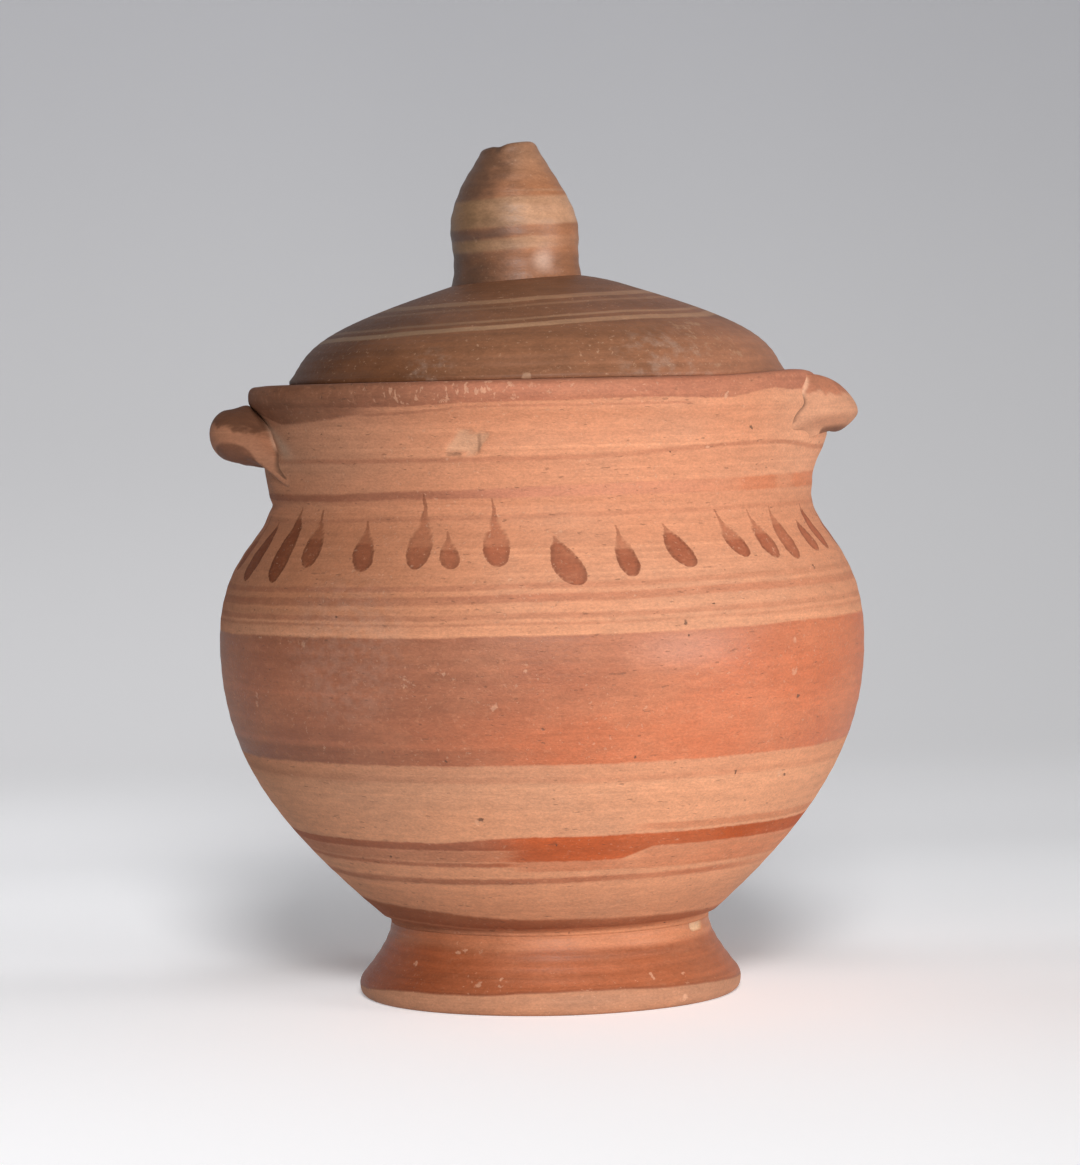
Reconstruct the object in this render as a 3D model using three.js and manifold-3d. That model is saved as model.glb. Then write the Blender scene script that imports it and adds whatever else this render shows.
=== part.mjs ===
// A small wheel-thrown stamnos: a round-bellied jar on a turned foot, with a short wide neck, two coil
// handles under its flat rim, and a domed lid with a hollow knob. Millimetres, +Z up.
// The origin lies on the table under the middle of the foot, and the handles stand on the X axis.

import * as THREE from "three";
import { mergeVertices } from "three/addons/utils/BufferGeometryUtils.js";
import Module from "manifold-3d";

// Foot: a turned ring that flares out towards the table
const footHeight = 14.7;
const footRadius = 38.2; // at its widest, just above the table
const footEdgeHeight = 2.4; // height of that widest place
const footEdgeTuck = 0.8; // how far the edge draws in below it
const footRestWidth = 7; // width of the ring that touches the table
const stemRadius = 31.8; // waist where the foot meets the bowl
const stemUpright = 3.1; // stretch below the waist in which the flare has turned upright
const footTopWidth = 6.3; // width of the ring at the waist

// Body: bowl, shoulder, neck and rim thrown in one piece
const wall = 5;
const floorThickness = 6.3;
const bellyRadius = 64.3;
const bellyRise = 55.8; // waist up to the widest place
const shoulderRise = 28; // widest place up to the crease under the neck
const neckRadius = 54.1; // at the crease
const neckRise = 19.6; // crease up to the underside of the lip
const neckFlare = 0.9; // how much the neck widens on the way
const lipHeight = 4;
const lipOverhang = 2.4; // how far the rounded lip stands out from the neck
const rimInset = 2.5; // how far the flat rim reaches in past the neck wall
const rimThickness = 5;

// Lid: a dome that rests on the rim, with a flange that hangs inside the mouth
const mouthPlay = 1.6; // radial clearance between flange and mouth
const lidBearing = 3.2; // how far the lid's edge lies on the rim
const lidEdge = 0.8; // upright edge of the dome
const lidRise = 18.5; // rim up to the flat crown
const lidWall = 5;
const flangeWidth = 4;
const flangeDepth = 9;
const crownMargin = 1.3; // flat left round the knob

// Knob: thrown separately, waisted, closing towards a small open tip
const knobHeight = 28.9;
const knobFootRadius = 13.6;
const knobWaistRadius = 12.4;
const knobWaistHeight = 6;
const knobRadius = 12.8;
const knobRadiusHeight = 11.2; // height of its widest place
const knobTipRadius = 6;
const knobTipRound = 1.4; // height of the rounded edge at the tip
const knobHoleRadius = 2.4;
const knobHoleDepth = 7;
const knobOffset = 3.6; // set off-centre, towards the left handle
const knobLean = THREE.MathUtils.degToRad(3);

// Handles: rolled coils bent into a small loop under the lip, their roots smeared down on the neck
const coilThickness = 7.6;
const coilHeight = 9;
const leftHandleSlot = 3.1; // daylight between coil and neck
const rightHandleSlot = 1.4;
const leftHandleDrop = 1; // loop's top below the underside of the lip
const rightHandleDrop = -1.9; // set higher, so that its top stands beside the lip
const leftRootDip = 8; // how far the roots slope down
const rightRootDip = 6;
const leftRootAngle = THREE.MathUtils.degToRad(17); // from the middle of the loop to each root
const rightRootAngle = THREE.MathUtils.degToRad(24);
const rootSink = 3; // how far the coil's ends are pressed past the neck's surface
const rootFlare = 1.25; // how many times taller the coil is where it is smeared onto the neck
const slipGap = 0.3; // joint between a handle and the body

// Shapes of the curves: how far each control point lies along the stretch that it bends
const bowlStartOut = 0.745;
const bowlStartUp = 0.385;
const bowlEndUp = 0.357;
const shoulderStartUp = 0.65;
const shoulderEndUp = 0.26;
const domeStart = [0.145, 0.34];
const domeEnd = [0.11, 0.51];
const knobTaperStart = 0.3;
const knobTaperEnd = [0.53, 0.42];
const loopSwing = 1.4; // 1 makes a full round loop, 2 a bell that runs out along the neck

// Facets
const roundSegments = 56;
const knobSegments = 32;
const coilSides = 12;
const coilSteps = 26;

// Levels and radii that follow from the sizes above
const bellyLevel = footHeight + bellyRise;
const creaseLevel = bellyLevel + shoulderRise;
const lipLevel = creaseLevel + neckRise;
const rimLevel = lipLevel + lipHeight;
const floorLevel = footHeight + floorThickness;
const neckTopRadius = neckRadius + neckFlare;
const mouthRadius = neckRadius - wall - rimInset;
const flangeRadius = mouthRadius - mouthPlay;
const flangeInnerRadius = flangeRadius - flangeWidth;
const lidRadius = mouthRadius + lidBearing;
const crownRadius = knobFootRadius + knobOffset + crownMargin;

const wasm = await Module();
wasm.setup();

const point = (radius, height) => new THREE.Vector2(radius, height);

// A cubic curve sampled into steps. Its first point is left out, because the profile already holds it.
function curve(start, startPull, endPull, end, steps) {
  return new THREE.CubicBezierCurve(start, startPull, endPull, end).getPoints(steps).slice(1);
}

// A profile turned about the Z axis. It runs anticlockwise, with radius to the right and height up.
function turned(profile, segments) {
  return new THREE.LatheGeometry(profile, segments).rotateX(Math.PI / 2);
}

function solidFrom(geometry) {
  const bare = geometry.clone();
  bare.deleteAttribute("normal");
  bare.deleteAttribute("uv");
  const merged = mergeVertices(bare, 1e-4);
  const vertProperties = new Float32Array(merged.attributes.position.array);
  const triVerts = new Uint32Array(merged.index.array);
  return new wasm.Manifold(new wasm.Mesh({ numProp: 3, vertProperties, triVerts }));
}

function geometryFrom(solid) {
  const { vertProperties, triVerts } = solid.getMesh();
  const geometry = new THREE.BufferGeometry();
  geometry.setAttribute("position", new THREE.BufferAttribute(vertProperties, 3));
  geometry.setIndex(new THREE.BufferAttribute(triVerts, 1));
  geometry.computeVertexNormals();
  return geometry;
}

function pieceOf(name, geometry, color, roughness) {
  const material = new THREE.MeshStandardMaterial({ color, roughness, metalness: 0 });
  const mesh = new THREE.Mesh(geometry, material);
  mesh.name = name;
  return mesh;
}

// The wall from the bottom of the bowl to the crease, for the outside or the inside of the body.
function bowlWall(bottom, belly, crease, lowerSteps, upperSteps) {
  const rise = belly.y - bottom.y;
  const shoulder = crease.y - belly.y;
  const out = bowlStartOut * (belly.x - bottom.x);
  return [
    ...curve(
      bottom,
      point(bottom.x + out, bottom.y + bowlStartUp * rise),
      point(belly.x, belly.y - bowlEndUp * rise),
      belly,
      lowerSteps,
    ),
    ...curve(
      belly,
      point(belly.x, belly.y + shoulderStartUp * shoulder),
      point(crease.x, crease.y - shoulderEndUp * shoulder),
      crease,
      upperSteps,
    ),
  ];
}

// The outside of the body from the waist up to the flat of the rim.
function bodyOutside() {
  const waist = point(stemRadius, footHeight);
  const lip = new THREE.EllipseCurve(
    neckTopRadius,
    lipLevel + lipHeight / 2,
    lipOverhang,
    lipHeight / 2,
    -Math.PI / 2,
    Math.PI / 2,
  );
  return [
    waist,
    ...bowlWall(waist, point(bellyRadius, bellyLevel), point(neckRadius, creaseLevel), 10, 9),
    ...lip.getPoints(6),
  ];
}

// The inside of the body from the mouth down to the middle of the floor.
function bodyInside() {
  const innerNeck = neckRadius - wall;
  const bottom = point(stemRadius, floorLevel);
  const upwards = [
    point(0, floorLevel),
    bottom,
    ...bowlWall(bottom, point(bellyRadius - wall, bellyLevel), point(innerNeck, creaseLevel), 7, 6),
    point(innerNeck, rimLevel - rimThickness - rimInset),
    point(mouthRadius, rimLevel - rimThickness),
    point(mouthRadius, rimLevel),
  ];
  return upwards.reverse();
}

function footGeometry() {
  const rest = footRadius - footEdgeTuck;
  const flare = new THREE.QuadraticBezierCurve(
    point(footRadius, footEdgeHeight),
    point(stemRadius, footHeight - stemUpright),
    point(stemRadius, footHeight),
  );
  const edge = new THREE.QuadraticBezierCurve(
    point(rest, 0),
    point(footRadius, 0),
    point(footRadius, footEdgeHeight),
  );
  const innerBottom = point(rest - footRestWidth, 0);
  const innerTop = point(stemRadius - footTopWidth, footHeight);
  const profile = [
    innerBottom,
    ...edge.getPoints(3),
    ...flare.getPoints(7).slice(1),
    innerTop,
    innerBottom,
  ];
  return turned(profile, roundSegments);
}

function bodyGeometry() {
  const profile = [point(0, footHeight), ...bodyOutside(), ...bodyInside()];
  return turned(profile, roundSegments);
}

// The dome's curve from its edge up to the crown, for the outside or the inside of the lid.
function dome(edge, crown, steps) {
  const inwards = edge.x - crown.x;
  const rise = crown.y - edge.y;
  const startPull = point(edge.x - domeStart[0] * inwards, edge.y + domeStart[1] * rise);
  const endPull = point(edge.x - domeEnd[0] * inwards, edge.y + domeEnd[1] * rise);
  return [edge, ...curve(edge, startPull, endPull, crown, steps)];
}

// The lid stands in its own frame, with the rim's plane at height 0.
function lidGeometry() {
  const ceiling = lidRise - lidWall;
  const profile = [
    point(0, ceiling),
    ...dome(point(flangeInnerRadius, 0), point(crownRadius, ceiling), 6).reverse(),
    point(flangeInnerRadius, -flangeDepth),
    point(flangeRadius, -flangeDepth),
    point(flangeRadius, 0),
    point(lidRadius, 0),
    ...dome(point(lidRadius, lidEdge), point(crownRadius, lidRise), 10),
    point(0, lidRise),
  ];
  return turned(profile, roundSegments);
}

// The knob stands in its own frame on height 0, leaning along -X without lifting its base.
function knobGeometry() {
  const waist = point(knobWaistRadius, knobWaistHeight);
  const widest = point(knobRadius, knobRadiusHeight);
  const tip = point(knobTipRadius, knobHeight - knobTipRound);
  const middle = (knobWaistHeight + knobRadiusHeight) / 2;
  const inwards = widest.x - tip.x;
  const rise = tip.y - widest.y;
  const flare = new THREE.QuadraticBezierCurve(
    point(knobFootRadius, 0),
    point(knobWaistRadius, knobWaistHeight / 3),
    waist,
  );
  const tipEdge = new THREE.QuadraticBezierCurve(
    tip,
    point(knobTipRadius, knobHeight),
    point((knobTipRadius + knobHoleRadius) / 2, knobHeight),
  );
  const holeTop = knobHeight - knobTipRound / 2;
  const profile = [
    point(0, 0),
    ...flare.getPoints(4),
    ...curve(waist, point(waist.x, middle), point(widest.x, middle), widest, 4),
    ...curve(
      widest,
      point(widest.x, widest.y + knobTaperStart * rise),
      point(tip.x + knobTaperEnd[0] * inwards, tip.y - knobTaperEnd[1] * rise),
      tip,
      6,
    ),
    ...tipEdge.getPoints(2).slice(1),
    point(knobHoleRadius, holeTop),
    point(0, holeTop - knobHoleDepth),
  ];
  const lean = new THREE.Matrix4().makeShear(0, 0, 0, 0, -Math.tan(knobLean), 0);
  return turned(profile, knobSegments).applyMatrix4(lean);
}

// A profile moved outwards by a distance, along the mean direction of its neighbouring stretches.
function offsetProfile(profile, distance) {
  return profile.map((place, i) => {
    const before = profile[Math.max(i - 1, 0)];
    const after = profile[Math.min(i + 1, profile.length - 1)];
    const along = after.clone().sub(before).normalize();
    return point(place.x + distance * along.y, place.y - distance * along.x);
  });
}

// The body's outer envelope as a filled solid, a slip gap larger all round.
function bodyEnvelope() {
  const outline = offsetProfile(bodyOutside(), slipGap);
  const profile = [point(0, outline[0].y), ...outline, point(0, outline.at(-1).y)];
  return solidFrom(turned(profile, roundSegments));
}

// The loop that a handle's coil follows, seen from above: out from the neck in an easy swing, and back in.
class LoopPath extends THREE.Curve {
  constructor(slot, rootAngle) {
    super();
    this.reach = neckTopRadius + slot + coilThickness / 2;
    this.rootAngle = rootAngle;
  }

  getPoint(t) {
    const share = 2 * t - 1;
    const angle = this.rootAngle * share;
    const rootRadius = neckRadius - rootSink;
    const radius = rootRadius + (this.reach - rootRadius) * Math.cos((share * Math.PI) / 2) ** loopSwing;
    return new THREE.Vector3(radius * Math.cos(angle), radius * Math.sin(angle), 0);
  }
}

// A coil swept along the loop. Towards its roots it dips and grows taller.
function coilGeometry(slot, dip, rootAngle) {
  const section = new THREE.Shape();
  section.absellipse(0, 0, coilHeight / 2, coilThickness / 2, 0, 2 * Math.PI);
  const coil = new THREE.ExtrudeGeometry(section, {
    curveSegments: coilSides,
    steps: coilSteps,
    extrudePath: new LoopPath(slot, rootAngle),
  });
  const places = coil.attributes.position;
  for (let i = 0; i < places.count; i++) {
    const share = Math.abs(Math.atan2(places.getY(i), places.getX(i))) / rootAngle;
    const rooted = Math.min(share, 1) ** 3;
    const height = places.getZ(i) * (1 + (rootFlare - 1) * rooted) - dip * rooted;
    places.setZ(i, height);
  }
  return coil;
}

function handleGeometry(turn, slot, drop, dip, rootAngle) {
  const coil = coilGeometry(slot, dip, rootAngle)
    .rotateZ(turn)
    .translate(0, 0, lipLevel - drop - coilHeight / 2);
  return geometryFrom(solidFrom(coil).subtract(bodyEnvelope()));
}

function vesselGroup() {
  const group = new THREE.Group();
  group.name = "vessel";
  group.add(pieceOf("foot", footGeometry(), 0xab6344, 0.7));
  group.add(pieceOf("body", bodyGeometry(), 0xc98e6c, 0.75));
  const leftHandle = handleGeometry(Math.PI, leftHandleSlot, leftHandleDrop, leftRootDip, leftRootAngle);
  const rightHandle = handleGeometry(0, rightHandleSlot, rightHandleDrop, rightRootDip, rightRootAngle);
  group.add(pieceOf("handle_left", leftHandle, 0xb27e62, 0.75));
  group.add(pieceOf("handle_right", rightHandle, 0xb27e62, 0.75));
  return group;
}

function lidGroup() {
  const group = new THREE.Group();
  group.name = "lid_with_knob";
  group.position.z = rimLevel;
  group.add(pieceOf("lid", lidGeometry(), 0x97644b, 0.6));
  const knob = pieceOf("lid_knob", knobGeometry(), 0x9c6f55, 0.6);
  knob.position.set(-knobOffset, 0, lidRise);
  group.add(knob);
  return group;
}

const stamnos = new THREE.Group();
stamnos.name = "stamnos";
stamnos.add(vesselGroup(), lidGroup());

export default stamnos;
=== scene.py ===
import math

import bpy
import numpy as np
from mathutils import Matrix, Vector


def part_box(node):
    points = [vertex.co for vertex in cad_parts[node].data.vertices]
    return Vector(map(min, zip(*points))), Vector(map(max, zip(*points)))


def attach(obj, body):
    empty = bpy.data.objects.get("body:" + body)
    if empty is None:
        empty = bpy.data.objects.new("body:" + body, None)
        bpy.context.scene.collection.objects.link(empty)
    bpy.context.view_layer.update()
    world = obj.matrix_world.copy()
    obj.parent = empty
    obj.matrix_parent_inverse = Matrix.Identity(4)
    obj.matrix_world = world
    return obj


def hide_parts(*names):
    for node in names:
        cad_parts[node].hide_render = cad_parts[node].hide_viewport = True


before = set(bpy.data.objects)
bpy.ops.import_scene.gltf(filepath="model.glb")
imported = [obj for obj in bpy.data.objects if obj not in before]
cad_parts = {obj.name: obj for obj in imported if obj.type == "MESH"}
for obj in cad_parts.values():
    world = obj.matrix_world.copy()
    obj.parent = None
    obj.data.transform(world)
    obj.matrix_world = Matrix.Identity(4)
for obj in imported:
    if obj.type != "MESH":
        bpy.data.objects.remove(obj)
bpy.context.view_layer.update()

# Lengths below are in millimetres, angles in degrees; meshes are written in metres.
# An angle round the jar is 0 at the front (-Y) and grows towards the right-hand handle (+X).
MM = 0.001


def node_box(node):
    """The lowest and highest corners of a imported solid, in millimetres."""
    return [np.array(corner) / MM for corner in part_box(node)]


foot_high = node_box("foot")[1]
body_high = node_box("body")[1]
lid_low, lid_high = node_box("lid")
knob_low, knob_high = node_box("lid_knob")

# Foot
foot_top = foot_high[2]
foot_radius = foot_high[0]
foot_edge_height = 2.4
foot_edge_tuck = 0.8
foot_rest_width = 7.0
foot_top_width = 6.3
stem_radius = 31.8
stem_upright = 3.1

# Body
belly_radius = body_high[1]
belly_level = 70.5
crease_level = 98.5
neck_radius = 54.1
neck_top_radius = 55.0
lip_level = 118.1
lip_overhang = 2.4
rim_level = body_high[2]
mouth_radius = 46.6
wall = 5.0
floor_level = 21.0

# Lid and knob
lid_radius = lid_high[1]
lid_edge = 0.8
lid_wall = 5.0
flange_radius = 45.0
flange_inner = 41.0
flange_low = lid_low[2]
crown_radius = 18.5
crown_level = lid_high[2]
knob_base = knob_low[2]
knob_top = knob_high[2]
knob_offset = -3.6
knob_lean = math.tan(math.radians(3))


# Curves and grids

def bezier(start, leave, arrive, end, count):
    """Cubic curve: (1-t)^3 start + 3(1-t)^2 t leave + 3(1-t) t^2 arrive + t^3 end, for t from 0 to 1."""
    t = np.linspace(0, 1, count)[:, None]
    u = 1 - t
    corners = [np.array(point, float) for point in (start, leave, arrive, end)]
    return u**3 * corners[0] + 3 * u**2 * t * corners[1] + 3 * u * t**2 * corners[2] + t**3 * corners[3]


def bend(start, corner, end, count):
    """Quadratic curve that leaves start and reaches end along the lines through one corner point."""
    start, corner, end = (np.array(point, float) for point in (start, corner, end))
    return bezier(start, start + (corner - start) * 2 / 3, end + (corner - end) * 2 / 3, end, count)


def straight(start, end, count):
    """Points spaced evenly from start to end."""
    t = np.linspace(0, 1, count)[:, None]
    return np.array(start, float) * (1 - t) + np.array(end, float) * t


def path(start, *moves):
    """A profile from start by moves, each a number of points and then the (r, z) points that shape it.

    One point is the end of a straight run, two are the corner and end of a bend, and three are the handles
    and end of a cubic curve. The number counts both ends of the run.
    """
    curves = {1: straight, 2: bend, 3: bezier}
    runs = [np.array(start, float)[None, :]]
    for count, *points in moves:
        runs.append(curves[len(points)](runs[-1][-1], *points, count)[1:])
    return np.concatenate(runs)


def smooth_step(value, low, high):
    """0 below low, 1 above high, and 3t^2 - 2t^3 between."""
    t = np.clip((value - low) / (high - low), 0, 1)
    return t * t * (3 - 2 * t)


def hump(value, width):
    """exp(-(value/width)^2): 1 at 0 and nearly nothing past twice the width."""
    return np.exp(-((value / width) ** 2))


def round_about(count):
    """The angles of the points round a turned piece, as a row, in degrees."""
    return np.linspace(-180, 180, count, endpoint=False)[None, :]


def angle_between(angle, centre):
    """The signed turn from centre to angle, within half a turn each way."""
    return (angle - centre + 180) % 360 - 180


def turned(radius, level, angle):
    """Points (r sin a, -r cos a, z): a profile carried round the upright axis."""
    a = np.radians(angle)
    return np.stack(np.broadcast_arrays(radius * np.sin(a), -radius * np.cos(a), level), -1)


def skin(name, grid, fields=None, ends_meet=False):
    """A closed mesh over a grid of points that wraps round in its second direction.

    In the first direction it wraps too where ends_meet is true; otherwise its first and last rows
    are single points, each closed by a fan of triangles. fields are named numbers per grid point.
    """
    rows, cols = grid.shape[:2]
    body_rows = slice(0, rows) if ends_meet else slice(1, rows - 1)
    count = rows if ends_meet else rows - 2

    def flat(values):
        inner = values[body_rows].reshape(count * cols, -1)
        if ends_meet:
            return inner
        return np.concatenate((inner, values[:1, 0].reshape(1, -1), values[-1:, 0].reshape(1, -1)))

    ring = np.arange(count)[:, None] * cols
    here = np.arange(cols)[None, :]
    after = (here + 1) % cols
    ring_next = np.roll(ring, -1, axis=0)
    quads = np.stack((ring + here, ring + after, ring_next + after, ring_next + here), -1)
    quads = quads if ends_meet else quads[:-1]
    corners = quads.reshape(-1)
    sizes = np.full(corners.size // 4, 4)
    if not ends_meet:
        first, last = count * cols, count * cols + 1
        lowest, highest = here[0], (count - 1) * cols + here[0]
        fan_first = np.stack((np.full(cols, first), np.roll(lowest, -1), lowest), -1)
        fan_last = np.stack((highest, np.roll(highest, -1), np.full(cols, last)), -1)
        corners = np.concatenate((corners, fan_first.reshape(-1), fan_last.reshape(-1)))
        sizes = np.concatenate((sizes, np.full(2 * cols, 3)))

    points = flat(grid) * MM
    mesh = bpy.data.meshes.new(name)
    mesh.vertices.add(len(points))
    mesh.vertices.foreach_set("co", points.reshape(-1).astype(np.float32))
    mesh.loops.add(corners.size)
    mesh.loops.foreach_set("vertex_index", corners.astype(np.int32))
    mesh.polygons.add(sizes.size)
    mesh.polygons.foreach_set("loop_start", (np.cumsum(sizes) - sizes).astype(np.int32))
    mesh.polygons.foreach_set("use_smooth", np.ones(sizes.size, bool))
    for field, values in (fields or {}).items():
        attribute = mesh.attributes.new(field, "FLOAT", "POINT")
        values = flat(np.broadcast_to(values, grid.shape[:2])[..., None])
        attribute.data.foreach_set("value", values.reshape(-1).astype(np.float32))
    mesh.update(calc_edges=True)
    mesh.validate()
    piece = bpy.data.objects.new(name, mesh)
    bpy.context.scene.collection.objects.link(piece)
    return piece


def stand_for(piece, node, body, finish):
    """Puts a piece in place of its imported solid, on the solid's body, with its finish."""
    piece.data.materials.append(finish)
    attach(piece, body)
    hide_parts(node)


# Shapes

def stem_chip(angle, level):
    """A flake off the foot's neck, a rounded block where |da|^4 + |dz|^4 is small."""
    across = angle_between(angle, 60) / 5
    up = (level - 14.2) / 1.25
    return 1 - smooth_step(across**4 + up**4, 0.6, 1.3)


def foot_turned():
    """The ring foot: flare, rounded edge, resting ring and cone-shaped hollow, carried round the axis.

    Low down the edge is uneven, r + 0.12 sin(3a + 0.6) + 0.07 sin(7a + 2), as a turned foot that was set
    down wet; the flare has turning rings 0.045 sin(2 pi z/2.1 + a), and one chip is 0.5 deep.
    """
    rest_inner = foot_radius - foot_edge_tuck - foot_rest_width
    rest_outer = foot_radius - foot_edge_tuck - 0.6
    top_inner = stem_radius - foot_top_width
    profile = path(
        (rest_outer, 0),
        (12, (foot_radius, 0), (foot_radius, foot_edge_height)),
        (8, (foot_radius - 0.1, foot_edge_height + 1.2), (foot_radius - 1.1, foot_edge_height + 2.2)),
        (40, (stem_radius, foot_top - stem_upright - 0.4), (stem_radius, foot_top - 0.1)),
        (4, (stem_radius, foot_top), (stem_radius - 0.1, foot_top)),
        (5, (top_inner + 0.3, foot_top)),
        (4, (top_inner, foot_top), (top_inner + 0.1, foot_top - 0.5)),
        (14, (rest_inner - 0.4, 0.6)),
        (5, (rest_inner, 0), (rest_inner + 0.6, 0)),
        (8, (rest_outer, 0)),
    )[:-1]
    angle = round_about(360)
    radius, level = profile[:, :1], profile[:, 1:]
    outside = smooth_step(radius, stem_radius - 1, stem_radius + 0.5)
    low_down = outside * (1 - smooth_step(level, 1.5, 9))
    a = np.radians(angle)
    uneven = 0.12 * np.sin(3 * a + 0.6) + 0.07 * np.sin(7 * a + 2)
    rings = 0.045 * np.sin(2 * math.pi * level / 2.1 + a) * outside * smooth_step(level, 3, 6)
    chip = stem_chip(angle, level) * outside
    grid = turned(radius + uneven * low_down + rings - 0.5 * chip, level, angle)
    return skin("foot_turned", grid, {"bare": chip}, ends_meet=True)


def body_profile():
    """Outside and inside of the thrown jar, from the middle of its underside to the middle of its floor.

    Returns the (r, z) points and, for each, 1 on the outside and 0 on the inside.
    """
    waist = np.array((stem_radius, foot_top))
    belly = np.array((belly_radius, belly_level))
    crease = np.array((neck_radius, crease_level))
    lip_edge = neck_top_radius + lip_overhang
    # Handles of the two long curves, as shares of their span
    bowl_leave, bowl_arrive = np.array((0.745, 0.385)), np.array((0, 0.357))
    shoulder_leave, shoulder_arrive = np.array((0, 0.65)), np.array((0, 0.26))
    bowl, shoulder = belly - waist, crease - belly
    outside = path(
        (0, foot_top),
        (4, (stem_radius - 0.4, foot_top)),
        (2, waist),
        (7, waist + (0.05, 1.4), waist + (1.9, 1.7)),
        (36, waist + bowl_leave * bowl, belly - bowl_arrive * bowl, belly),
        (44, belly + shoulder_leave * shoulder, crease - shoulder_arrive * shoulder, crease),
        (18, (neck_top_radius - 0.25, lip_level - 5.5)),
        (16, (neck_top_radius - 0.1, lip_level - 2.5), (lip_edge - 0.6, lip_level - 1.2),
         (lip_edge - 0.1, lip_level + 1.2)),
        (10, (lip_edge + 0.2, rim_level), (lip_edge - 1.8, rim_level)),
    )
    under_rim = rim_level - wall
    inner_neck = neck_top_radius - wall
    inner_low = np.array((stem_radius, floor_level))
    inner_belly, inner_crease = belly - (wall, 0), crease - (wall, 0)
    bowl = inner_belly - inner_low
    inside = path(
        (neck_top_radius - 0.6, rim_level),
        (5, (mouth_radius + 0.6, rim_level)),
        (4, (mouth_radius, rim_level), (mouth_radius, rim_level - 0.6)),
        (2, (mouth_radius, rim_level - 1)),
        (3, (mouth_radius, under_rim)),
        (4, (inner_neck, under_rim - 0.5), (inner_neck, under_rim - 3)),
        (2, (inner_neck, under_rim - 4)),
        (5, inner_crease),
        (10, inner_crease - shoulder_arrive * shoulder, inner_belly + shoulder_leave * shoulder,
         inner_belly),
        (14, inner_belly - bowl_arrive * bowl, inner_low + bowl_leave * bowl, inner_low),
        (6, (0, floor_level)),
    )
    points = np.concatenate((outside, inside))
    return points, np.concatenate((np.ones(len(outside)), np.zeros(len(inside))))


# Painted drops on the shoulder, left to right: angle and level of the tip, angle and level of the drop's
# foot, its width, how red its paint is (0 brown, 1 rose), and how far down the thick paint starts (0 to 1).
front_drops = [
    (-74, 95.5, -74, 84.2, 6.0, 0.0, 0.10),
    (-64.5, 98.5, -62, 84.2, 6.0, 0.0, 0.17),
    (-56, 98.0, -53.2, 87.2, 5.3, 0.1, 0.51),
    (-42, 96.0, -39.2, 86.6, 5.0, 0.25, 0.45),
    (-29, 101.0, -28.2, 87.0, 5.1, 0.3, 0.71),
    (-23.5, 94.0, -21.4, 87.0, 4.0, 0.45, 0.50),
    (-14.8, 100.0, -12.9, 87.3, 5.2, 0.6, 0.71),
    (-2.7, 92.8, 1, 83.7, 6.0, 0.5, 0.14),
    (9.5, 94.5, 11, 85.0, 4.3, 0.5, 0.47),
    (19.3, 94.5, 22.4, 86.3, 5.2, 0.55, 0.22),
    (32, 96.8, 35.4, 87.7, 4.7, 0.65, 0.64),
    (40.9, 96.5, 43.3, 87.2, 4.5, 0.7, 0.50),
    (48.3, 97.0, 49.5, 86.7, 4.5, 0.75, 0.35),
    (57.5, 94.0, 59, 87.8, 4.3, 0.8, 0.10),
    (63, 97.0, 65.5, 88.0, 4.3, 0.85, 0.15),
]


def all_drops():
    """The drops of the front, and the row carried on round the back with small differences."""
    chance = np.random.default_rng(7)
    places = np.linspace(76, 276, 20)
    shifts = chance.uniform(-2.5, 2.5, (len(places), 2))
    heights = chance.uniform(-1.3, 1.3, (len(places), 2))
    looks = chance.uniform(0, 1, (len(places), 3))
    back = [
        (place + shift[0], 96.3 + height[0], place + 1.5 + shift[1], 86.8 + height[1],
         4.2 + 1.8 * look[0], 0.2 + 0.5 * look[1], 0.1 + 0.4 * look[2])
        for place, shift, height, look in zip(places, shifts, heights, looks)
    ]
    return front_drops + back


def drop_fields(angle, level, radius):
    """For each grid point, its place in the drop whose outline is nearest.

    drop_down runs 0 to 1 from the drop's tip to its foot, drop_aside is the distance in millimetres from its
    middle line, and drop_guard is 1 in and just round the drop. The outline is taken as the wider of a tail
    of half width 0.25 + 0.5 down and a blob of 1.25 width u^0.9 sqrt(1 - u), where u runs 0 to 1 from a
    little above the thick paint to the drop's foot.
    """
    shape = np.broadcast_shapes(angle.shape, level.shape)
    names = ("drop_down", "drop_aside", "drop_guard", "drop_width", "drop_tone", "drop_thick_from")
    fields = {name: np.zeros(shape) for name in names}
    nearest = np.full(shape, np.inf)
    for tip_angle, tip_level, low_angle, low_level, width, redness, thick_from in all_drops():
        down = (tip_level - level) / (tip_level - low_level)
        middle = tip_angle + (low_angle - tip_angle) * down
        aside = np.radians(angle_between(angle, middle)) * radius
        blob_from = 0.55 * thick_from
        u = np.clip((down - blob_from) / (1 - blob_from), 0, 1)
        half_width = np.maximum(1.25 * width * u**0.9 * np.sqrt(1 - u), (0.25 + 0.5 * down) * (down < 0.9))
        past_ends = np.abs(down - 0.5) > 0.6
        beside = np.abs(aside) - np.where(past_ends, 0, half_width) + 3 * past_ends
        guard = 1 - smooth_step(beside, 0.1, 0.45)
        nearer = beside < nearest
        nearest = np.where(nearer, beside, nearest)
        for name, value in zip(names, (down, aside, guard, width, redness, thick_from)):
            fields[name] = np.where(nearer, value, fields[name])
    return fields


def neck_flake(angle, level):
    """A shallow flake off the neck, deep along its lower and right edges, running out to the upper left.

    Returns 1 inside it, and its depth.
    """
    across = angle_between(angle, -19.3) / 3.7
    up = (level - 110.6) / 2.3
    outline = np.abs(across - 0.25 * np.sin(2.5 * up)) ** 2.6 + np.abs(up + 0.15 * np.sin(4 * across)) ** 2.6
    inside = 1 - smooth_step(outline, 0.6, 1.15)
    return inside, inside * (0.25 + 0.5 * np.clip(0.5 - 0.35 * up + 0.3 * across, 0, 1))


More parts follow.
